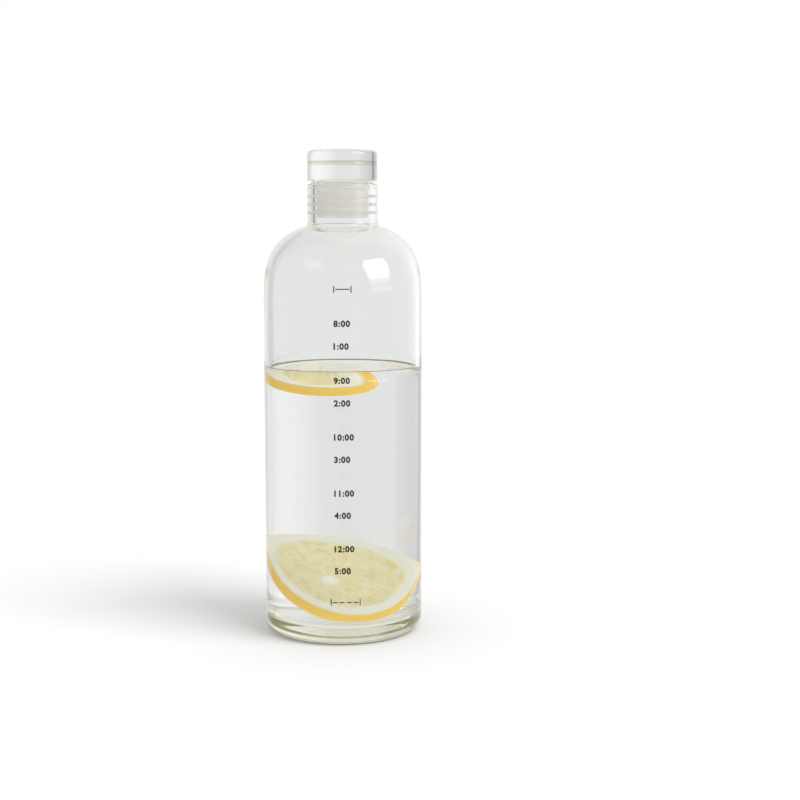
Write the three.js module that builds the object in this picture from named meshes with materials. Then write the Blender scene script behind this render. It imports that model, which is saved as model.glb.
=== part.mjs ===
// Glass water bottle with a puck stopper.
// Millimetres, +Z up. The origin is the centre of the foot, on the surface that the bottle stands on.
import * as THREE from "three";

// Driving dimensions, in millimetres.
const BODY_RADIUS = 39.5;
const WALL = 3.2; // glass thickness of the body and the shoulder
const FLOOR_HEIGHT = 8; // top of the thick base inside the bottle
const FLOOR_CROWN = 0.8; // the floor is a little higher in the middle
// The crown's outline towards the middle, as shares of the inner radius and of its height.
const CROWN_OUTLINE = [[0.4, 0.8], [0, 1]];
const FLOOR_CORNER = 5; // radius where the floor meets the inner wall
const FOOT_CORNER = 7; // radius where the body meets the foot
const PUNT_RADIUS = 26; // the hollow under the base
const PUNT_DEPTH = 1.6;
// The hollow's outline from the middle to its rim, as shares of its radius and depth.
const PUNT_OUTLINE = [[0, 1], [0.6, 0.85], [0.9, 0.3], [1, 0]];
const SHOULDER_START = 165; // the straight body ends here
const SHOULDER_END = { radius: 21, height: 202.6 }; // the shoulder ends here, at the root of the neck
const SHOULDER_RISE = 22.3; // length of the curve's upright tangent at the body
const SHOULDER_REACH = 15.2; // length of its tangent at the neck, measured level
const SHOULDER_SLOPE = 0.45; // fall per unit of radius at the root of the neck
const ROOT_THICKENING = 0.6; // extra glass inside, where the shoulder meets the neck
const NECK_RADIUS = 17.4;
const NECK_BORE = 13.7;
const NECK_ROOT = 2; // outer radius where the shoulder turns up into the neck
const NECK_ROOT_HEIGHT = 205; // the neck is straight above this height
const BORE_ROOT = 4; // the same radius on the inside
const BORE_ROOT_HEIGHT = 204; // the bore is straight above this height
const ROOT_TURN = 65; // degrees that the wall turns there
const LIP_HEIGHT = 224.1;
const LIP_ROUND = 1.2;

const HEAD_RADIUS = 17.3;
const HEAD_BOTTOM = 225.4;
const HEAD_HEIGHT = 15;
const HEAD_TOP_ROUND = 2;
const HEAD_BOTTOM_ROUND = 1;
const SHANK_RADIUS = 11;
const SHANK_LENGTH = 16.4;
const SHANK_ROUND = 1;

const CLEARANCE = 0.25; // between pieces that touch on the real object
const SLEEVE_FLANGE_RADIUS = 15.8;
const SLEEVE_CORE_RADIUS = 12.8;
const SLEEVE_DEPTH = 16.6; // below the lip
const SLEEVE_COLLAR = 2.6; // full-width band right under the flange
const SLEEVE_CHAMFER = 0.6; // round the lower edge
const RIB_COUNT = 3;
const RIB_PITCH = 4;
const RIB_WIDTH = 1.8;
const RIB_TAPER = 0.5; // how much narrower a rib is at its edge, on each side
const RIB_START = 3.5; // from the underside of the collar down to the middle of the top rib

const TURN_STEPS = 64; // facets round a lathed piece
const DEGREE = Math.PI / 180;

// Points of an arc in the (radius, height) plane, from one angle to another in degrees.
function arc(centreRadius, centreHeight, size, from, to, steps) {
  const points = [];
  for (let i = 0; i <= steps; i++) {
    const angle = (from + ((to - from) * i) / steps) * DEGREE;
    points.push([centreRadius + size * Math.cos(angle), centreHeight + size * Math.sin(angle)]);
  }
  return points;
}

// Points of the shoulder curve, lowered inwards by the given wall thickness.
function shoulder(inset, steps) {
  const side = BODY_RADIUS - inset;
  const thicker = inset > 0 ? ROOT_THICKENING : 0;
  const end = new THREE.Vector2(SHOULDER_END.radius, SHOULDER_END.height - inset - thicker);
  const curve = new THREE.CubicBezierCurve(
    new THREE.Vector2(side, SHOULDER_START),
    new THREE.Vector2(side, SHOULDER_START + SHOULDER_RISE - inset / 2),
    new THREE.Vector2(end.x + SHOULDER_REACH - inset, end.y - SHOULDER_REACH * SHOULDER_SLOPE),
    end,
  );
  return curve.getPoints(steps).map((point) => [point.x, point.y]);
}

// A closed solid of revolution about Z from (radius, height) pairs.
function lathe(name, profile, material) {
  const points = profile.map(([radius, height]) => new THREE.Vector2(radius, height));
  const geometry = new THREE.LatheGeometry(points, TURN_STEPS);
  geometry.rotateX(90 * DEGREE);
  const mesh = new THREE.Mesh(geometry, material);
  mesh.name = name;
  return mesh;
}

function glass(colour) {
  return new THREE.MeshStandardMaterial({
    color: colour,
    roughness: 0.04,
    metalness: 0,
    transparent: true,
    opacity: 0.35,
  });
}

// The bottle: up the outside from the middle of the foot, over the lip, and down the inside to the floor.
function makeBottle() {
  const innerRadius = BODY_RADIUS - WALL;
  const footRadius = BODY_RADIUS - FOOT_CORNER;
  const profile = [
    ...PUNT_OUTLINE.map(([across, up]) => [PUNT_RADIUS * across, PUNT_DEPTH * up]),
    ...arc(footRadius, FOOT_CORNER, FOOT_CORNER, -90, 0, 6),
    ...shoulder(0, 9),
    ...arc(NECK_RADIUS + NECK_ROOT, NECK_ROOT_HEIGHT, NECK_ROOT, 180 + ROOT_TURN, 180, 4),
    ...arc(NECK_RADIUS - LIP_ROUND, LIP_HEIGHT - LIP_ROUND, LIP_ROUND, 0, 90, 3),
    ...arc(NECK_BORE + LIP_ROUND, LIP_HEIGHT - LIP_ROUND, LIP_ROUND, 90, 180, 3),
    ...arc(NECK_BORE + BORE_ROOT, BORE_ROOT_HEIGHT, BORE_ROOT, 180, 180 + ROOT_TURN, 4),
    ...shoulder(WALL, 9).reverse(),
    ...arc(innerRadius - FLOOR_CORNER, FLOOR_HEIGHT + FLOOR_CORNER, FLOOR_CORNER, 0, -90, 5),
    ...CROWN_OUTLINE.map(([across, up]) => [innerRadius * across, FLOOR_HEIGHT + FLOOR_CROWN * up]),
  ];
  return lathe("bottle", profile, glass(0xe9efec));
}

// The solid puck and its shank, which reaches down into the sleeve.
function makeStopperHead() {
  const top = HEAD_BOTTOM + HEAD_HEIGHT;
  const profile = [
    [0, HEAD_BOTTOM - SHANK_LENGTH],
    ...arc(SHANK_RADIUS - SHANK_ROUND, HEAD_BOTTOM - SHANK_LENGTH + SHANK_ROUND, SHANK_ROUND, -90, 0, 3),
    [SHANK_RADIUS, HEAD_BOTTOM],
    ...arc(HEAD_RADIUS - HEAD_BOTTOM_ROUND, HEAD_BOTTOM + HEAD_BOTTOM_ROUND, HEAD_BOTTOM_ROUND, -90, 0, 3),
    ...arc(HEAD_RADIUS - HEAD_TOP_ROUND, top - HEAD_TOP_ROUND, HEAD_TOP_ROUND, 0, 90, 5),
    [0, top],
  ];
  return lathe("stopper_head", profile, glass(0xf1f3f1));
}

// The ribbed sleeve: a tube over the shank with a flange at the top, a collar under it, and ribs below.
function makeStopperSleeve() {
  const flangeBottom = LIP_HEIGHT + CLEARANCE;
  const flangeTop = HEAD_BOTTOM - CLEARANCE;
  const bottom = LIP_HEIGHT - SLEEVE_DEPTH;
  const bore = SHANK_RADIUS + CLEARANCE;
  const ribRadius = NECK_BORE - CLEARANCE;
  const collarBottom = LIP_HEIGHT - SLEEVE_COLLAR;
  const profile = [
    [bore, bottom],
    [SLEEVE_CORE_RADIUS - SLEEVE_CHAMFER, bottom],
    [SLEEVE_CORE_RADIUS, bottom + SLEEVE_CHAMFER],
  ];
  for (let i = RIB_COUNT - 1; i >= 0; i--) {
    const middle = collarBottom - RIB_START - i * RIB_PITCH;
    profile.push(
      [SLEEVE_CORE_RADIUS, middle - RIB_WIDTH / 2],
      [ribRadius, middle - RIB_WIDTH / 2 + RIB_TAPER],
      [ribRadius, middle + RIB_WIDTH / 2 - RIB_TAPER],
      [SLEEVE_CORE_RADIUS, middle + RIB_WIDTH / 2],
    );
  }
  profile.push(
    [SLEEVE_CORE_RADIUS, collarBottom],
    [ribRadius, collarBottom + RIB_TAPER],
    ...arc(NECK_BORE + LIP_ROUND, LIP_HEIGHT - LIP_ROUND, LIP_ROUND + CLEARANCE, 180, 90, 3),
    [SLEEVE_FLANGE_RADIUS, flangeBottom],
    [SLEEVE_FLANGE_RADIUS, flangeTop],
    [bore, flangeTop],
    [bore, bottom],
  );
  const material = new THREE.MeshStandardMaterial({ color: 0xd9d6cd, roughness: 0.45, metalness: 0 });
  return lathe("stopper_sleeve", profile, material);
}

const waterBottle = new THREE.Group();
waterBottle.add(makeBottle(), makeStopperHead(), makeStopperSleeve());

export default waterBottle;
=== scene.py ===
"""Glass water bottle with a puck stopper: the looks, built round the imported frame.

The object is made of fine lathed glass, a ribbed translucent sleeve and an hour scale printed on the glass.
Water and two lemon slices are stage props, like the floor: they show in renders and aren't part of it.
Profiles and sizes are in millimetres, and every mesh is written in metres.
"""
import math

import bpy
from mathutils import Euler, Matrix, Vector


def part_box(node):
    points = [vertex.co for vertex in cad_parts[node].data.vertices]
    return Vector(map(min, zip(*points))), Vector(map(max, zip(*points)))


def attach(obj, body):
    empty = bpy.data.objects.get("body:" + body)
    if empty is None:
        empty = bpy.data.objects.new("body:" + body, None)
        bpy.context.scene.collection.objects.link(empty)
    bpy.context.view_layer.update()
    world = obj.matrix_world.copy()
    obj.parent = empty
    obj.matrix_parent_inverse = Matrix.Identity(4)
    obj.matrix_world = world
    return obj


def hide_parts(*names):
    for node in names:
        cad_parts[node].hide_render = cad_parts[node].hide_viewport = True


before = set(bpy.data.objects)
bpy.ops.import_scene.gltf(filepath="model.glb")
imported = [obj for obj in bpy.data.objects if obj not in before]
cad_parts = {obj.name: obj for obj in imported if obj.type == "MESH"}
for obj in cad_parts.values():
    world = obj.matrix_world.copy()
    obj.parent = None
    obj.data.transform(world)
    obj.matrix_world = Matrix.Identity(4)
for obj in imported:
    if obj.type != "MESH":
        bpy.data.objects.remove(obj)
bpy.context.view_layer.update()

MM = 0.001
_, BOTTLE_HIGH = (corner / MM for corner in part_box("bottle"))
HEAD_LOW, HEAD_HIGH = (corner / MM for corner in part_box("stopper_head"))
SLEEVE_LOW, SLEEVE_HIGH = (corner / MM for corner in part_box("stopper_sleeve"))

# The bottle, in millimetres. Its outside comes from the frame.
BODY_RADIUS = BOTTLE_HIGH.x
LIP_HEIGHT = BOTTLE_HIGH.z
WALL = 3.2
FLOOR_HEIGHT = 8.0
FLOOR_CROWN = 0.8
FLOOR_CORNER = 5.0
FOOT_CORNER = 7.0
PUNT_RADIUS = 26.0
PUNT_DEPTH = 1.6
SHOULDER_START = 165.0
SHOULDER_END = (21.0, 202.6)
SHOULDER_RISE = 22.3
SHOULDER_REACH = 15.2
SHOULDER_SLOPE = 0.45
NECK_RADIUS = 17.4
NECK_BORE = 13.7
NECK_ROOT = 2.0
NECK_ROOT_HEIGHT = 205.0
BORE_ROOT = 4.0
BORE_ROOT_HEIGHT = 204.0
ROOT_TURN = 65
ROOT_THICKENING = 0.6
LIP_ROUND = 1.2
CROWN_STEPS = 24
BOTTLE_TURNS = 256

# Unevenness of the inner wall: height in millimetres, waves round the bottle, length upwards and phase.
RIPPLES = ((0.07, 3, 60, 0), (0.04, 7, -35, 1), (0.02, 13, 50, 2))

# The stopper, in millimetres.
HEAD_RADIUS = HEAD_HIGH.x
HEAD_TOP = HEAD_HIGH.z
CLEARANCE = 0.25
HEAD_BOTTOM = SLEEVE_HIGH.z + CLEARANCE
HEAD_TOP_ROUND = 2
HEAD_BOTTOM_ROUND = 1
SHANK_RADIUS = 11.0
SHANK_ROUND = 1
SHANK_FILLET = 0.4
SEAM_HEIGHT = 234.4
# Painted reflection: a greenish line round the puck at the seam height, for the image of the puck's edges
# seen in the glass.
PAINTED_SEAM_LINE_BAND = 1.2
PAINTED_SEAM_LINE_COLOUR = (0.62, 0.61, 0.50, 1)
SEAM_RADIUS = 4.0
SEAM_HALF_ANGLE = 10
SEAM_OUTSET = SEAM_RADIUS * math.cos(math.radians(SEAM_HALF_ANGLE))
SEAM_HALF_HEIGHT = SEAM_RADIUS * math.sin(math.radians(SEAM_HALF_ANGLE))
SHANK_BOTTOM = HEAD_LOW.z
STOPPER_TURNS = 192
SLEEVE_CORE_RADIUS = 12.8
SLEEVE_BEVEL = 0.3
SLEEVE_CHAMFER = 0.6
RIB_RADIUS = 13.76
RIB_COUNT = 3
RIB_PITCH = 4.0
RIB_WIDTH = 1.8
RIB_START = 3.5  # from the underside of the collar down to the middle of the top rib
RIB_FLANK = 3  # how steeply a rib's sides rise
RIB_STEPS = 12
COLLAR_HEIGHT = 2.6
COLLAR_ROUND = 0.4

# The hour scale, in millimetres: pairs of marks down the front of the body.
FIRST_MARK_HEIGHT = 157.2
MARK_PITCH = 27.2
SECOND_MARK_DROP = 10.8
MARK_LEFT = -3.0
DIGIT_HEIGHT = 3.2
DIGIT_STROKE_GAIN = 0.045
DIGIT_SPACING = 1.15
FIRST_HOUR = 8
HOUR_PAIRS = 5
HOURS_APART = 5
FULL_LINE = {"left": MARK_LEFT + 1, "dashes": 1, "dash": 6.7, "gap": 0, "middle": 173.5}
REFILL_LINE = {"left": MARK_LEFT - 1, "dashes": 4, "dash": 2.4, "gap": 1, "middle": 22.1}
LINE_THICKNESS = 0.5
TICK_GAP = 0.5
INK_RAISE = 0.05
INK_DEPTH = 0.1

# Painted light: a faint glow given to the glass, standing in for light trapped in the thick base and
# scattered out of it.
PAINTED_GLOW = 0.015
PAINTED_GLOW_COLOUR = (0.96, 0.92, 0.80, 1)

# Contents, which are props, in millimetres.
WATER_HEIGHT = 134.0
WATER_REACH = 0.12  # how far the water goes into the glass
MENISCUS_HEIGHT = 0.25
MENISCUS_DEPTH = 0.3
MENISCUS_REACH = 0.05
SLICE_RADIUS = 32.0
SLICE_THICKNESS = 6.0
SLICE_SEGMENTS = 9
SLICE_TURNS = 144
RIND_ROUND = 0.8
FLESH_DIP = 0.25
UPPER_SLICE_SCALE = 0.76
STAR_CENTRE = (-2.0, -7.0)

# The camera: its place in metres, its pitch in degrees and its lens in millimetres.
CAMERA_PLACE = (0.0286, -0.7287, 0.1994)
CAMERA_PITCH_DOWN = 6.5
CAMERA_LENS = 65.5

# Studio light. Bearings are in degrees from straight behind the bottle, positive to the right. Heights are
# the upward part of the direction, from -1 to 1.
SURROUND_BY_BEARING = (
    (-180, 0.62), (-150, 0.60), (-120, 0.58), (-80, 0.58), (-62, 0.44), (-59, 0.56), (-57, 0.22), (-51, 0.22),
    (-49, 0.58), (-44, 0.63), (-30, 0.74), (-24, 0.77), (-22, 0.85), (-14, 0.85), (-6, 0.83), (4, 0.84),
    (12, 0.94), (25, 1.03), (45, 1.03), (60, 0.76), (85, 0.70), (120, 0.62), (180, 0.62),
)
GROUND_BRIGHTNESS = 0.88
GROUND_BY_HEIGHT = ((-1, 1), (-0.5, 1), (-0.3, 0), (1, 0))
SURROUND_BY_HEIGHT = ((-1, 1), (0.2, 1), (0.5, 0.85), (1, 0.8))
GLASS_CAST = (0.975, 0.985, 1, 1)
KEY_ENERGY = 2.1
KEY_ANGLE = 40
KEY_DIRECTION = (0.60, -0.37, 0.75)
FLOOR_HALF = 6000
LIGHT_BOUNCES = 48  # enough for light to find its way out of the thick base

# The softboxes, in millimetres and in degrees from the front, positive to the right.
SOFTBOX_DISTANCE = 900.0
RIGHT_SOFTBOX = {"low": 190, "high": 790, "low_bearings": (45, 78), "high_bearings": (34, 72)}
RIGHT_SOFTBOX_GLOW = (
    (190, 0.3), (222, 1.6), (246, 1.6), (256, 0.8), (285, 0.8), (310, 2.0), (385, 2.6), (400, 6), (790, 6),
)
LEFT_SOFTBOX = {"low": 560, "high": 800, "low_bearings": (-62, -30), "high_bearings": (-62, -30)}
LEFT_SOFTBOX_GLOW = ((560, 0.6), (640, 1.4), (800, 1.4))


def linear(red, green, blue):
    """A screen colour from 0 to 255, as the linear colour that shaders take."""
    def channel(value):
        value /= 255
        return value / 12.92 if value <= 0.04045 else ((value + 0.055) / 1.055) ** 2.4
    return (channel(red), channel(green), channel(blue), 1)


# ---------------------------------------------------------------- shapes

def arc(radius, height, size, start, end, steps):
    """Points of an arc in the (radius, height) plane, with angles in degrees."""
    angles = (math.radians(start + (end - start) * i / steps) for i in range(steps + 1))
    return [(radius + size * math.cos(a), height + size * math.sin(a)) for a in angles]


def line(start, end, steps):
    """Evenly spaced points from start up to but not including end."""
    return [
        (start[0] + (end[0] - start[0]) * i / steps, start[1] + (end[1] - start[1]) * i / steps)
        for i in range(steps)
    ]


def bezier(a, b, c, d, steps):
    """Points of a cubic curve."""
    points = []
    for i in range(steps + 1):
        t = i / steps
        u = 1 - t
        weights = (u ** 3, 3 * u * u * t, 3 * u * t * t, t ** 3)
        points.append(tuple(sum(w * p[k] for w, p in zip(weights, (a, b, c, d))) for k in (0, 1)))
    return points


def shoulder(inset, steps):
    """The shoulder curve, lowered inwards by the wall thickness."""
    side = BODY_RADIUS - inset
    thicker = ROOT_THICKENING if inset else 0
    end = (SHOULDER_END[0], SHOULDER_END[1] - inset - thicker)
    return bezier(
        (side, SHOULDER_START),
        (side, SHOULDER_START + SHOULDER_RISE - inset / 2),
        (end[0] + SHOULDER_REACH - inset, end[1] - SHOULDER_REACH * SHOULDER_SLOPE),
        end,
        steps,
    )


def new_object(name, vertices, faces, smooth=True):
    """A mesh object from millimetre vertices."""
    mesh = bpy.data.meshes.new(name)
    mesh.from_pydata([Vector(v) * MM for v in vertices], [], faces)
    mesh.validate()
    for polygon in mesh.polygons:
        polygon.use_smooth = smooth
    made = bpy.data.objects.new(name, mesh)
    bpy.context.scene.collection.objects.link(made)
    return made


def lathe(name, profile, turns, ripple=None):
    """A closed surface turned about Z. The profile runs from axis to axis, or is a closed loop.
    ripple(radius, height, angle) gives the true radius at a place, for hand-made unevenness."""
    vertices, rings = [], []
    for radius, height in profile:
        if radius < 1e-6:
            rings.append([len(vertices)])
            vertices.append((0, 0, height))
            continue
        rings.append(list(range(len(vertices), len(vertices) + turns)))
        for i in range(turns):
            angle = 2 * math.pi * i / turns
            true_radius = ripple(radius, height, angle) if ripple else radius
            vertices.append((true_radius * math.cos(angle), true_radius * math.sin(angle), height))
    closed = len(rings[0]) > 1
    pairs = list(zip(rings, rings[1:] + rings[:1])) if closed else list(zip(rings, rings[1:]))
    faces = []
    for below, above in pairs:
        for i in range(turns):
            j = (i + 1) % turns
            if len(below) == 1:
                faces.append((below[0], above[j], above[i]))
            elif len(above) == 1:
                faces.append((below[i], below[j], above[0]))
            else:
                faces.append((below[i], below[j], above[j], above[i]))
    return new_object(name, vertices, faces)


def glass_ripple(radius, height, angle):
    """Moulded glass is even outside and a little uneven inside, in long upright waves."""
    if radius > BODY_RADIUS - WALL * 0.6 or height > BORE_ROOT_HEIGHT or height < FLOOR_HEIGHT + 2:
        return radius
    share = min(1, (radius / BODY_RADIUS) ** 2)
    wave = sum(
        size * math.sin(count * angle + height / length + phase) for size, count, length, phase in RIPPLES
    )
    return radius + share * wave


def make_bottle():
    """The glass: up the outside from the middle of the foot, over the lip, and down inside to the floor."""
    inner = BODY_RADIUS - WALL
    foot = BODY_RADIUS - FOOT_CORNER
    shares = [i / CROWN_STEPS for i in range(CROWN_STEPS)]
    punt = [(PUNT_RADIUS * share, PUNT_DEPTH * math.cos(math.pi / 2 * share) ** 0.8) for share in shares]
    floor = [
        ((inner - FLOOR_CORNER) * share, FLOOR_HEIGHT + FLOOR_CROWN * math.cos(math.pi / 2 * share) ** 2)
        for share in shares
    ]
    profile = (
        punt
        + line((PUNT_RADIUS, 0), (foot, 0), 3)
        + arc(foot, FOOT_CORNER, FOOT_CORNER, -90, 0, 20)
        + line((BODY_RADIUS, FOOT_CORNER), (BODY_RADIUS, SHOULDER_START), 30)[1:]
        + shoulder(0, 60)
        + arc(NECK_RADIUS + NECK_ROOT, NECK_ROOT_HEIGHT, NECK_ROOT, 180 + ROOT_TURN, 180, 14)
        + line((NECK_RADIUS, NECK_ROOT_HEIGHT), (NECK_RADIUS, LIP_HEIGHT - LIP_ROUND), 6)[1:]
        + arc(NECK_RADIUS - LIP_ROUND, LIP_HEIGHT - LIP_ROUND, LIP_ROUND, 0, 90, 8)
        + arc(NECK_BORE + LIP_ROUND, LIP_HEIGHT - LIP_ROUND, LIP_ROUND, 90, 180, 8)
        + line((NECK_BORE, LIP_HEIGHT - LIP_ROUND), (NECK_BORE, BORE_ROOT_HEIGHT), 6)[1:]
        + arc(NECK_BORE + BORE_ROOT, BORE_ROOT_HEIGHT, BORE_ROOT, 180, 180 + ROOT_TURN, 14)
        + shoulder(WALL, 60)[::-1]
        + line((inner, SHOULDER_START), (inner, FLOOR_HEIGHT + FLOOR_CORNER), 60)[1:]
        + arc(inner - FLOOR_CORNER, FLOOR_HEIGHT + FLOOR_CORNER, FLOOR_CORNER, 0, -90, 16)
        + floor[::-1]
    )
    return lathe("bottle_glass", profile, BOTTLE_TURNS, glass_ripple)


def make_stopper_head():
    """The solid puck, with a shallow groove round its seam, and the shank under it."""
    side_start, side_end = HEAD_BOTTOM + HEAD_BOTTOM_ROUND, HEAD_TOP - HEAD_TOP_ROUND
    seam_start, seam_end = 180 + SEAM_HALF_ANGLE, 180 - SEAM_HALF_ANGLE
    top_edge, middle = HEAD_RADIUS - HEAD_TOP_ROUND, 2
    profile = (
        [(0, SHANK_BOTTOM)]
        + line((middle, SHANK_BOTTOM), (SHANK_RADIUS - SHANK_ROUND, SHANK_BOTTOM), 3)
        + arc(SHANK_RADIUS - SHANK_ROUND, SHANK_BOTTOM + SHANK_ROUND, SHANK_ROUND, -90, 0, 8)
        + arc(SHANK_RADIUS + SHANK_FILLET, HEAD_BOTTOM - SHANK_FILLET, SHANK_FILLET, 180, 90, 4)
        + arc(HEAD_RADIUS - HEAD_BOTTOM_ROUND, side_start, HEAD_BOTTOM_ROUND, -90, 0, 8)
        + line((HEAD_RADIUS, side_start), (HEAD_RADIUS, SEAM_HEIGHT - SEAM_HALF_HEIGHT), 16)[1:]
        + arc(HEAD_RADIUS + SEAM_OUTSET, SEAM_HEIGHT, SEAM_RADIUS, seam_start, seam_end, 12)
        + line((HEAD_RADIUS, SEAM_HEIGHT + SEAM_HALF_HEIGHT), (HEAD_RADIUS, side_end), 8)[1:]
        + arc(top_edge, side_end, HEAD_TOP_ROUND, 0, 90, 12)
        + line((top_edge, HEAD_TOP), (middle, HEAD_TOP), 6)[1:]
        + [(0, HEAD_TOP)]
    )
    return lathe("stopper_puck", profile, STOPPER_TURNS)


def make_sleeve():
    """The ribbed sleeve: the closed outline of a tube with soft ribs, a collar and a thin flange."""
    bore = SHANK_RADIUS + CLEARANCE
    bottom, top = SLEEVE_LOW.z, SLEEVE_HIGH.z
    collar_bottom = LIP_HEIGHT - COLLAR_HEIGHT
    profile = [(bore, bottom + SLEEVE_BEVEL), (bore + SLEEVE_BEVEL, bottom)]
    profile += arc(SLEEVE_CORE_RADIUS - SLEEVE_CHAMFER, bottom + SLEEVE_CHAMFER, SLEEVE_CHAMFER, -90, 0, 5)
    for rib in reversed(range(RIB_COUNT)):
        middle = collar_bottom - RIB_START - rib * RIB_PITCH
        for step in range(RIB_STEPS + 1):
            share = step / RIB_STEPS
            lift = min(1, RIB_FLANK * math.sin(math.pi * share))
            radius = SLEEVE_CORE_RADIUS + (RIB_RADIUS - SLEEVE_CORE_RADIUS) * lift
            profile.append((radius, middle + RIB_WIDTH * (share - 0.5)))
    profile += [(SLEEVE_CORE_RADIUS, collar_bottom)]
    profile += arc(RIB_RADIUS - COLLAR_ROUND, collar_bottom + COLLAR_ROUND, COLLAR_ROUND, -60, 0, 4)
    profile += arc(NECK_BORE + LIP_ROUND, LIP_HEIGHT - LIP_ROUND, LIP_ROUND + CLEARANCE, 180, 90, 6)
    flange_middle = (LIP_HEIGHT + CLEARANCE + top) / 2
    flange_round = top - flange_middle
    profile += arc(SLEEVE_HIGH.x - flange_round, flange_middle, flange_round, -90, 90, 8)
    profile += [(bore + SLEEVE_BEVEL, top), (bore, top - SLEEVE_BEVEL)]
    profile += line((bore, top - SLEEVE_BEVEL), (bore, bottom + SLEEVE_BEVEL), 8)[1:]
    return lathe("stopper_ribbed_sleeve", profile, STOPPER_TURNS)


def wrap_on_glass(piece, raised):
    """Bends a flat plate in the XZ plane round the body. Its Y tells ink front from ink back."""
    for vertex in piece.data.vertices:
        across, depth, height = vertex.co / MM
        radius = BODY_RADIUS + (raised if depth < 0 else raised - INK_DEPTH)
        angle = across / BODY_RADIUS - math.pi / 2
        vertex.co = Vector((radius * math.cos(angle), radius * math.sin(angle), height)) * MM


def print_number(name, text, left, middle):
    """Printed figures, from the built-in font, as thin ink on the glass."""
    curve = bpy.data.curves.new(name + "_curve", "FONT")
    curve.body = text
    curve.size = 1
    curve.resolution_u = 4
    curve.offset = DIGIT_STROKE_GAIN
    curve.space_character = DIGIT_SPACING
    curve.extrude = 0.1
    source = bpy.data.objects.new(name + "_curve", curve)
    bpy.context.scene.collection.objects.link(source)
    bpy.context.view_layer.update()
    flat = bpy.data.meshes.new_from_object(source.evaluated_get(bpy.context.evaluated_depsgraph_get()))
    bpy.data.objects.remove(source)
    xs = [v.co.x for v in flat.vertices]
    ys = [v.co.y for v in flat.vertices]
    scale = DIGIT_HEIGHT / (max(ys) - min(ys))
    vertices = [
        (
            left + (v.co.x - min(xs)) * scale,
            -v.co.z,
            middle + (v.co.y - (max(ys) + min(ys)) / 2) * scale,
        )
        for v in flat.vertices
    ]
    faces = [tuple(p.vertices) for p in flat.polygons]
    piece = new_object(name, vertices, faces, smooth=False)
    bpy.data.meshes.remove(flat)
    wrap_on_glass(piece, INK_RAISE)
    return piece


def bar(left, right, low, high, steps=8):
    """Vertices and faces of a thin upright plate in the XZ plane, split along its length so it can bend."""
    vertices, faces = [], []
    for i in range(steps + 1):
        x = left + (right - left) * i / steps
        vertices += [(x, -1, low), (x, 1, low), (x, 1, high), (x, -1, high)]
    for i in range(steps):
        a, b = 4 * i, 4 * i + 4
        faces += [(a + k, a + (k + 1) % 4, b + (k + 1) % 4, b + k) for k in range(4)]
    faces += [(3, 2, 1, 0), tuple(4 * steps + k for k in range(4))]
    return vertices, faces


def print_line(name, left, dashes, dash, gap, middle):
    """A level line of dashes between two upright end ticks."""
    thick, tick = LINE_THICKNESS, DIGIT_HEIGHT
    length = dashes * dash + (dashes - 1) * gap
    starts = [left + i * (dash + gap) for i in range(dashes)]
    ends = (left - TICK_GAP - thick, left + length + TICK_GAP)
    plates = [bar(start, start + dash, middle - thick / 2, middle + thick / 2) for start in starts]
    plates += [bar(end, end + thick, middle - tick / 2, middle + tick / 2, 1) for end in ends]
    vertices, faces = [], []
    for plate_vertices, plate_faces in plates:
        start = len(vertices)
        vertices += plate_vertices
        faces += [tuple(start + k for k in face) for face in plate_faces]
    piece = new_object(name, vertices, faces, smooth=False)
    wrap_on_glass(piece, INK_RAISE)
    return piece


# ---------------------------------------------------------------- materials

def new_material(name):
    """A node material, with its nodes, its links and its shader."""
    material = bpy.data.materials.new(name)
    material.use_nodes = True
    nodes = material.node_tree.nodes
    return material, nodes, material.node_tree.links, nodes["Principled BSDF"]


def noise_bump(nodes, links, shader, scale, strength, distance, stretch=(1, 1, 1)):
    """Fine relief from object-space noise, so that it stays with the piece."""
    place = nodes.new("ShaderNodeTexCoord")
    mapping = nodes.new("ShaderNodeMapping")
    mapping.inputs["Scale"].default_value = stretch
    noise = nodes.new("ShaderNodeTexNoise")
    noise.inputs["Scale"].default_value = scale
    noise.inputs["Detail"].default_value = 3
    bump = nodes.new("ShaderNodeBump")
    bump.inputs["Strength"].default_value = strength
    bump.inputs["Distance"].default_value = distance
    links.new(place.outputs["Object"], mapping.inputs["Vector"])
    links.new(mapping.outputs["Vector"], noise.inputs["Vector"])
    links.new(noise.outputs["Fac"], bump.inputs["Height"])
    links.new(bump.outputs["Normal"], shader.inputs["Normal"])
    return noise


def glass_material(name, colour, tint, density):
    """Clear glass: a near-white surface, and a faint tint that grows with thickness."""
    material, nodes, links, shader = new_material(name)
    shader.inputs["Base Color"].default_value = colour
    shader.inputs["Roughness"].default_value = 0
    shader.inputs["IOR"].default_value = 1.5
    shader.inputs["Transmission Weight"].default_value = 1
    # Painted light: the glass glows faintly, though it is no lamp.
    shader.inputs["Emission Color"].default_value = PAINTED_GLOW_COLOUR
    shader.inputs["Emission Strength"].default_value = PAINTED_GLOW
    absorb = nodes.new("ShaderNodeVolumeAbsorption")
    absorb.inputs["Color"].default_value = tint
    absorb.inputs["Density"].default_value = density
    links.new(absorb.outputs["Volume"], nodes["Material Output"].inputs["Volume"])
    noise_bump(nodes, links, shader, 40, 0.02, 0.0005, (1, 1, 0.3))
    return material


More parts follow.
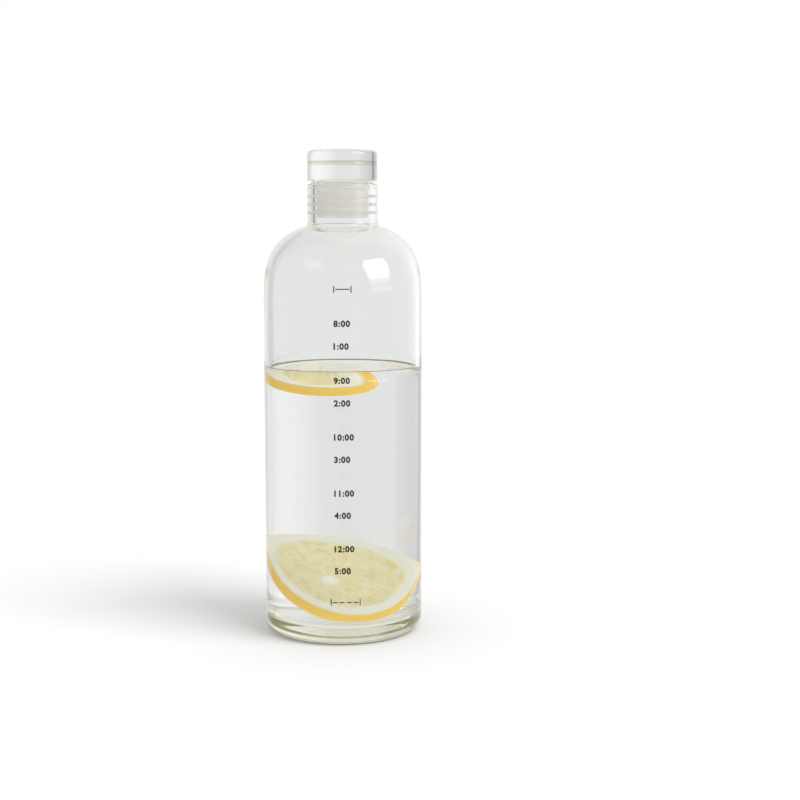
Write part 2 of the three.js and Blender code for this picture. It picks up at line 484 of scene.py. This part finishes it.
def paint_seam_line(material):
    """A greenish line painted round the puck at the seam: a painted reflection, standing in for the image of
    the puck's edges that the glass shows there. The rest keeps the material's colour.
    """
    nodes, links = material.node_tree.nodes, material.node_tree.links
    shader = nodes["Principled BSDF"]
    place = nodes.new("ShaderNodeTexCoord")
    split = nodes.new("ShaderNodeSeparateXYZ")
    links.new(place.outputs["Object"], split.inputs[0])
    share = nodes.new("ShaderNodeMapRange")
    share.inputs["From Min"].default_value = (SEAM_HEIGHT - PAINTED_SEAM_LINE_BAND) * MM
    share.inputs["From Max"].default_value = (SEAM_HEIGHT + PAINTED_SEAM_LINE_BAND) * MM
    links.new(split.outputs["Z"], share.inputs["Value"])
    band = nodes.new("ShaderNodeValToRGB")
    elements = band.color_ramp.elements
    elements[0].color = elements[1].color = shader.inputs["Base Color"].default_value[:]
    for position in (0.25, 0.75):
        elements.new(position).color = PAINTED_SEAM_LINE_COLOUR
    for position in (0.2, 0.8):
        elements.new(position).color = elements[0].color[:]
    links.new(share.outputs["Result"], band.inputs["Fac"])
    links.new(band.outputs["Color"], shader.inputs["Base Color"])


def sleeve_material():
    """Off-white and translucent, with a faint painted glow that lightens it where it sits inside the glass.
    """
    material, nodes, links, shader = new_material("sleeve_translucent")
    noise = noise_bump(nodes, links, shader, 900, 0.15, 0.0002)
    ramp = nodes.new("ShaderNodeValToRGB")
    ramp.color_ramp.elements[0].color = linear(228, 227, 222)
    ramp.color_ramp.elements[1].color = linear(236, 235, 231)
    links.new(noise.outputs["Fac"], ramp.inputs["Fac"])
    links.new(ramp.outputs["Color"], shader.inputs["Base Color"])
    # Painted light: the sleeve glows with its own colour, though it is no lamp.
    links.new(ramp.outputs["Color"], shader.inputs["Emission Color"])
    shader.inputs["Emission Strength"].default_value = 0.19
    shader.inputs["Roughness"].default_value = 0.4
    shader.inputs["IOR"].default_value = 1.3
    shader.inputs["Transmission Weight"].default_value = 0.6
    return material


def ink_material():
    """Black ink fired on the glass, a little uneven."""
    material, nodes, links, shader = new_material("print_ink")
    noise = noise_bump(nodes, links, shader, 4000, 0.2, 0.00002)
    ramp = nodes.new("ShaderNodeValToRGB")
    ramp.color_ramp.elements[0].color = linear(22, 22, 24)
    ramp.color_ramp.elements[1].color = linear(38, 38, 41)
    links.new(noise.outputs["Fac"], ramp.inputs["Fac"])
    links.new(ramp.outputs["Color"], shader.inputs["Base Color"])
    shader.inputs["Roughness"].default_value = 0.45
    return material


def place_piece(piece, body, slot, material, *cad_nodes):
    """Gives a piece its finish, and its place in the frame."""
    piece.data.materials.clear()
    piece.data.materials.append(material)
    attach(piece, body)
    if cad_nodes:
        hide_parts(*cad_nodes)


# ---------------------------------------------------------------- the object

def build_object():
    """The three pieces and the printed scale, each on its body."""
    bottle_glass = glass_material(
        "bottle_glass", colour=(0.965, 0.967, 0.972, 1), tint=(0.70, 0.68, 0.36, 1), density=8
    )
    head_glass = glass_material(
        "stopper_glass", colour=(0.975, 0.977, 0.982, 1), tint=(0.70, 0.70, 0.45, 1), density=5
    )
    ink = ink_material()
    paint_seam_line(head_glass)
    place_piece(make_bottle(), "bottle", "bottle_glass", bottle_glass, "bottle")
    place_piece(make_stopper_head(), "head", "stopper_glass", head_glass, "stopper_head")
    place_piece(make_sleeve(), "sleeve", "sleeve", sleeve_material(), "stopper_sleeve")
    for i in range(HOUR_PAIRS):
        height = FIRST_MARK_HEIGHT - MARK_PITCH * i
        for drop, hour in ((0, FIRST_HOUR + i), (SECOND_MARK_DROP, FIRST_HOUR + i + HOURS_APART)):
            shown = (hour - 1) % 12 + 1
            mark = print_number(f"hour_mark_{hour}", f"{shown}:00", MARK_LEFT, height - drop)
            place_piece(mark, "bottle", "print_ink", ink)
    for mark in (print_line("full_line", **FULL_LINE), print_line("refill_line", **REFILL_LINE)):
        place_piece(mark, "bottle", "print_ink", ink)


# ---------------------------------------------------------------- contents, as props

def make_water():
    """Water up to a level surface. It reaches a hair into the glass, so that light goes straight from glass
    to water."""
    inner = BODY_RADIUS - WALL + WATER_REACH
    floor = FLOOR_HEIGHT - WATER_REACH
    steps, middle = 8, 2
    profile = (
        [(i * (inner - FLOOR_CORNER) / steps, floor + FLOOR_CROWN * math.cos(math.pi / 2 / steps * i) ** 2)
         for i in range(steps)]
        + arc(inner - FLOOR_CORNER, floor + FLOOR_CORNER, FLOOR_CORNER, -90, 0, 12)
        + line((inner, FLOOR_HEIGHT + FLOOR_CORNER), (inner, WATER_HEIGHT), 20)[1:]
        + line((inner, WATER_HEIGHT), (middle, WATER_HEIGHT), 8)
        + [(0, WATER_HEIGHT)]
    )
    water = lathe("prop_water", profile, STOPPER_TURNS)
    material, _, _, shader = new_material("prop_water")
    shader.inputs["Base Color"].default_value = (0.97, 0.975, 0.98, 1)
    shader.inputs["Roughness"].default_value = 0
    shader.inputs["IOR"].default_value = 1.333
    shader.inputs["Transmission Weight"].default_value = 1
    water.data.materials.append(material)
    return water


def make_meniscus():
    """The thin ring where the water climbs the glass. Its olive colour is painted shade, standing in for the
    green line that the glass shows along the water's edge.
    """
    wall = BODY_RADIUS - WALL + MENISCUS_REACH
    curl = arc(wall, WATER_HEIGHT + MENISCUS_HEIGHT, MENISCUS_HEIGHT, 180, 270, 6)
    curl = [(wall - (wall - r) / MENISCUS_HEIGHT * MENISCUS_DEPTH, z) for r, z in curl]
    corner = (wall, WATER_HEIGHT - MENISCUS_REACH)
    toe = (wall - 0.02, WATER_HEIGHT - 0.04)
    profile = [corner, (wall, WATER_HEIGHT + MENISCUS_HEIGHT)] + curl[1:-1] + [toe, corner]
    ring = lathe("prop_meniscus", profile, STOPPER_TURNS)
    material, _, _, shader = new_material("prop_meniscus")
    # Painted shade: an olive colour for the dark green line seen along the water's edge.
    shader.inputs["Base Color"].default_value = linear(214, 203, 146)
    shader.inputs["Roughness"].default_value = 0.3
    shader.inputs["Transmission Weight"].default_value = 0.3
    ring.data.materials.append(material)
    return ring


def lemon_material():
    """Flesh with pale membranes between its segments, white pith and yellow rind, by place on the slice."""
    material, nodes, links, shader = new_material("prop_lemon")

    def math_node(operation, first, second=None, value=None):
        node = nodes.new("ShaderNodeMath")
        node.operation = operation
        links.new(first, node.inputs[0])
        if second is not None:
            links.new(second, node.inputs[1])
        if value is not None:
            node.inputs[1].default_value = value
        return node.outputs[0]

    def ramp(source, *stops):
        """Colour by the value of source, from (value, colour) stops."""
        made = nodes.new("ShaderNodeValToRGB")
        elements = made.color_ramp.elements
        elements[0].position, elements[0].color = stops[0]
        elements[1].position, elements[1].color = stops[-1]
        for position, colour in stops[1:-1]:
            elements.new(position).color = colour
        links.new(source, made.inputs["Fac"])
        return made.outputs["Color"]

    def mix(share, first, second):
        node = nodes.new("ShaderNodeMix")
        node.data_type = "RGBA"
        links.new(share, node.inputs["Factor"])
        for socket, value in ((node.inputs["A"], first), (node.inputs["B"], second)):
            if isinstance(value, tuple):
                socket.default_value = value
            else:
                links.new(value, socket)
        return node.outputs["Result"]

    def noise(scale, detail, vector):
        node = nodes.new("ShaderNodeTexNoise")
        node.inputs["Scale"].default_value = scale
        node.inputs["Detail"].default_value = detail
        links.new(vector, node.inputs["Vector"])
        return node.outputs["Fac"]

    black, white = (0, 0, 0, 1), (1, 1, 1, 1)
    place = nodes.new("ShaderNodeTexCoord").outputs["Object"]
    split = nodes.new("ShaderNodeSeparateXYZ")
    links.new(place, split.inputs[0])

    def distance_from(x_centre, y_centre):
        """Distance from a point of the slice as a share of its radius, and the two offsets."""
        x = math_node("SUBTRACT", split.outputs["X"], value=x_centre * MM)
        y = math_node("SUBTRACT", split.outputs["Y"], value=y_centre * MM)
        square = math_node("ADD", math_node("MULTIPLY", x, x), math_node("MULTIPLY", y, y))
        return math_node("MULTIPLY", math_node("SQRT", square), value=1 / (SLICE_RADIUS * MM)), x, y

    radial, _, _ = distance_from(0, 0)
    from_star, x, y = distance_from(*STAR_CENTRE)
    angle = math_node("ARCTAN2", y, x)
    unit = nodes.new("ShaderNodeVectorMath")
    unit.operation = "NORMALIZE"
    flat = nodes.new("ShaderNodeCombineXYZ")
    links.new(x, flat.inputs["X"])
    links.new(y, flat.inputs["Y"])
    links.new(flat.outputs[0], unit.inputs[0])
    spread = nodes.new("ShaderNodeSeparateXYZ")
    links.new(unit.outputs[0], spread.inputs[0])
    fan = nodes.new("ShaderNodeCombineXYZ")
    links.new(spread.outputs["X"], fan.inputs["X"])
    links.new(spread.outputs["Y"], fan.inputs["Y"])
    links.new(from_star, fan.inputs["Z"])
    fan = fan.outputs[0]

    def grey(level):
        return (level, level, level, 1)

    def ragged(distance, cells, depth):
        """A distance made uneven by noise."""
        uneven = math_node("SUBTRACT", noise(cells, cells, fan), value=0.5)
        return math_node("ADD", distance, math_node("MULTIPLY", uneven, value=depth))

    streaks = ramp(
        noise(9, 5, fan),
        (0.36, linear(226, 213, 150)), (0.5, linear(238, 228, 172)), (0.64, linear(248, 242, 204)),
    )
    wobble = math_node("MULTIPLY", noise(110, 3, place), value=0.8)
    turned = math_node("ADD", math_node("MULTIPLY", angle, value=SLICE_SEGMENTS / 2), wobble)
    spokes = math_node("ABSOLUTE", math_node("SINE", turned))
    thin = ramp(spokes, (0, white), (0.05, grey(0.5)), (0.11, black))
    fading = ramp(from_star, (0, white), (0.2, grey(0.8)), (0.5, grey(0.25)), (0.8, grey(0.12)))
    membrane = math_node("MULTIPLY", thin, fading)
    star = ramp(ragged(from_star, 4, 0.22), (0.07, white), (0.16, black))
    pith = ramp(ragged(radial, 3, 0.12), (0.78, black), (0.84, white))
    pale = math_node("MAXIMUM", membrane, math_node("MAXIMUM", star, pith))
    flesh = mix(pale, streaks, linear(247, 247, 230))
    skin = mix(ramp(radial, (0.965, black), (0.99, white)), flesh, linear(250, 208, 70))
    links.new(skin, shader.inputs["Base Color"])
    shader.inputs["Roughness"].default_value = 0.35
    shader.inputs["Subsurface Weight"].default_value = 0.35
    shader.inputs["Subsurface Radius"].default_value = (0.004, 0.003, 0.0012)
    shader.inputs["Subsurface Scale"].default_value = 1
    # Painted light: the slices glow with their own colour, to lighten them inside the water and the glass.
    links.new(skin, shader.inputs["Emission Color"])
    shader.inputs["Emission Strength"].default_value = 0.5
    return material


def make_slice(name, material):
    """A round slice with a rounded rind, and membranes that stand a little proud of the flesh."""
    half = SLICE_THICKNESS / 2
    edge = arc(SLICE_RADIUS - RIND_ROUND, 0, RIND_ROUND, -90, 90, 8)
    edge = [(r, z * (half / RIND_ROUND)) for r, z in edge]
    inner = [(0, -half)] + line((1, -half), (SLICE_RADIUS - RIND_ROUND, -half), 24)
    profile = inner + edge + [(r, half) for r, _ in inner[::-1]]
    piece = lathe(name, profile, SLICE_TURNS)
    for vertex in piece.data.vertices:
        x, y, z = vertex.co / MM
        radial = math.hypot(x, y) / SLICE_RADIUS
        if radial < 0.8:
            bearing = math.atan2(y - STAR_CENTRE[1], x - STAR_CENTRE[0])
            spoke = abs(math.sin(SLICE_SEGMENTS / 2 * bearing))
            dip = FLESH_DIP * min(1, spoke / 0.25)
            vertex.co.z = (z - math.copysign(dip, z)) * MM
    piece.data.materials.append(material)
    return piece


def lay_slice(piece, centre, lean, roll, turn, scale=1):
    """Puts a slice at a centre in millimetres: turned in its own plane, leaning back and rolled sideways."""
    rotation = (
        Euler((0, math.radians(roll), 0)).to_matrix().to_4x4()
        @ Euler((math.radians(lean), 0, 0)).to_matrix().to_4x4()
        @ Euler((0, 0, math.radians(turn))).to_matrix().to_4x4()
    )
    piece.matrix_world = Matrix.Translation(Vector(centre) * MM) @ rotation @ Matrix.Scale(scale, 4)


def build_contents():
    """The water and the two slices, as props that stay where they are."""
    water = make_water()
    lemon = lemon_material()
    lower = make_slice("prop_lower_slice", lemon)
    lay_slice(lower, (-3.5, -1, 27.5), lean=26, roll=18, turn=0)
    upper = make_slice("prop_upper_slice", lemon)
    lay_slice(upper, (-10.5, -1, 127.5), lean=9, roll=3, turn=70, scale=UPPER_SLICE_SCALE)
    make_meniscus()


# ---------------------------------------------------------------- floor, light and camera

def make_floor():
    """A plain pale floor, which takes the shadow and stays out of the glass."""
    half = FLOOR_HALF
    corners = [(-half, -half, 0), (half, -half, 0), (half, half, 0), (-half, half, 0)]
    floor = new_object("floor", corners, [(0, 1, 2, 3)], smooth=False)
    material, _, _, shader = new_material("floor_white")
    shader.inputs["Base Color"].default_value = (0.72, 0.72, 0.72, 1)
    shader.inputs["Roughness"].default_value = 0.9
    shader.inputs["Specular IOR Level"].default_value = 0
    floor.data.materials.append(material)
    floor.visible_transmission = False
    floor.visible_glossy = False


def make_studio_light():
    """The surroundings that the glass sees: bright behind and to the right, greyer to the left and in front.
    The camera and the floor see plain white."""
    world = bpy.data.worlds.new("studio")
    world.use_nodes = True
    nodes, links = world.node_tree.nodes, world.node_tree.links

    def combine(operation, first, second):
        node = nodes.new("ShaderNodeMath")
        node.operation = operation
        for socket, value in zip(node.inputs, (first, second)):
            if isinstance(value, (int, float)):
                socket.default_value = value
            else:
                links.new(value, socket)
        return node.outputs[0]

    def ramp(source, low, high, stops):
        """Brightness by the value of source, from (value, brightness) stops between low and high."""
        share = nodes.new("ShaderNodeMapRange")
        share.inputs["From Min"].default_value = low
        share.inputs["From Max"].default_value = high
        links.new(source, share.inputs["Value"])
        made = nodes.new("ShaderNodeValToRGB")
        elements = made.color_ramp.elements
        for element, (value, brightness) in zip((elements[0], elements[1]), (stops[0], stops[-1])):
            element.color = (brightness, brightness, brightness, 1)
        for value, brightness in stops[1:-1]:
            elements.new((value - low) / (high - low)).color = (brightness, brightness, brightness, 1)
        links.new(share.outputs["Result"], made.inputs["Fac"])
        return made.outputs["Color"]

    place = nodes.new("ShaderNodeTexCoord")
    split = nodes.new("ShaderNodeSeparateXYZ")
    links.new(place.outputs["Generated"], split.inputs[0])
    radians = combine("ARCTAN2", split.outputs["X"], split.outputs["Y"])
    bearing = combine("MULTIPLY", radians, 180 / math.pi)
    surround = ramp(bearing, -180, 180, SURROUND_BY_BEARING)
    height = ramp(split.outputs["Z"], -1, 1, SURROUND_BY_HEIGHT)
    walls = combine("MULTIPLY", surround, height)
    downwards = ramp(split.outputs["Z"], -1, 1, GROUND_BY_HEIGHT)
    ground = nodes.new("ShaderNodeMix")
    ground.data_type = "FLOAT"
    links.new(downwards, ground.inputs["Factor"])
    links.new(walls, ground.inputs["A"])
    ground.inputs["B"].default_value = GROUND_BRIGHTNESS
    path = nodes.new("ShaderNodeLightPath")
    seen = nodes.new("ShaderNodeMix")
    seen.data_type = "FLOAT"
    plain_white = combine("MAXIMUM", path.outputs["Is Camera Ray"], path.outputs["Is Diffuse Ray"])
    links.new(plain_white, seen.inputs["Factor"])
    links.new(ground.outputs["Result"], seen.inputs["A"])
    seen.inputs["B"].default_value = 1
    background = nodes["Background"]
    cast = nodes.new("ShaderNodeMix")
    cast.data_type = "RGBA"
    links.new(plain_white, cast.inputs["Factor"])
    cast.inputs["A"].default_value = GLASS_CAST
    cast.inputs["B"].default_value = (1, 1, 1, 1)
    links.new(cast.outputs["Result"], background.inputs["Color"])
    links.new(seen.outputs["Result"], background.inputs["Strength"])
    bpy.context.scene.world = world


def make_softbox(name, low, high, low_bearings, high_bearings, glow):
    """An upright glowing card that shows only in glass, as a highlight. Its glow goes by height."""
    corners = []
    for height, bearings in ((low, low_bearings), (high, high_bearings[::-1])):
        for bearing in bearings:
            angle = math.radians(bearing)
            corners.append((SOFTBOX_DISTANCE * math.sin(angle), -SOFTBOX_DISTANCE * math.cos(angle), height))
    card = new_object(name, corners, [(0, 1, 2, 3)], smooth=False)
    material = bpy.data.materials.new(name)
    material.use_nodes = True
    nodes, links = material.node_tree.nodes, material.node_tree.links
    nodes.remove(nodes["Principled BSDF"])
    place = nodes.new("ShaderNodeTexCoord")
    split = nodes.new("ShaderNodeSeparateXYZ")
    links.new(place.outputs["Object"], split.inputs[0])
    share = nodes.new("ShaderNodeMapRange")
    share.inputs["From Min"].default_value = low * MM
    share.inputs["From Max"].default_value = high * MM
    links.new(split.outputs["Z"], share.inputs["Value"])
    fade = nodes.new("ShaderNodeValToRGB")
    brightest = max(value for _, value in glow)
    elements = fade.color_ramp.elements
    for element, (_, value) in zip((elements[0], elements[1]), (glow[0], glow[-1])):
        element.color = (value / brightest,) * 3 + (1,)
    for height, value in glow[1:-1]:
        elements.new((height - low) / (high - low)).color = (value / brightest,) * 3 + (1,)
    links.new(share.outputs["Result"], fade.inputs["Fac"])
    emission = nodes.new("ShaderNodeEmission")
    emission.inputs["Strength"].default_value = brightest
    links.new(fade.outputs["Color"], emission.inputs["Color"])
    links.new(emission.outputs["Emission"], nodes["Material Output"].inputs["Surface"])
    card.data.materials.append(material)
    card.visible_camera = False
    card.visible_diffuse = False
    card.visible_shadow = False


def make_sun():
    """A very soft key light for the floor only, so that the bottle throws a pale shadow to the left."""
    light = bpy.data.lights.new("key", "SUN")
    light.energy = KEY_ENERGY
    light.angle = math.radians(KEY_ANGLE)
    lamp = bpy.data.objects.new("key", light)
    lamp.rotation_euler = Vector(KEY_DIRECTION).to_track_quat("Z", "Y").to_euler()
    lamp.visible_glossy = False
    lamp.visible_transmission = False
    bpy.context.scene.collection.objects.link(lamp)


def build_stage():
    """Floor, surroundings, softboxes and key light, with enough bounces for clear glass."""
    make_floor()
    make_studio_light()
    make_softbox("softbox_right", **RIGHT_SOFTBOX, glow=RIGHT_SOFTBOX_GLOW)
    make_softbox("softbox_left", **LEFT_SOFTBOX, glow=LEFT_SOFTBOX_GLOW)
    make_sun()
    scene = bpy.context.scene
    scene.view_settings.view_transform = "Standard"
    scene.cycles.max_bounces = LIGHT_BOUNCES
    scene.cycles.glossy_bounces = LIGHT_BOUNCES
    scene.cycles.transmission_bounces = LIGHT_BOUNCES


def make_camera():
    """The camera: in front, a little to the right of the bottle, looking slightly down."""
    camera = bpy.data.cameras.new("camera")
    camera.lens = CAMERA_LENS
    camera.sensor_width = 36
    camera.clip_start = 0.01
    holder = bpy.data.objects.new("camera", camera)
    holder.location = CAMERA_PLACE
    holder.rotation_euler = (math.radians(90 - CAMERA_PITCH_DOWN), 0, 0)
    bpy.context.scene.collection.objects.link(holder)
    bpy.context.scene.camera = holder


make_camera()
build_object()
build_contents()
build_stage()
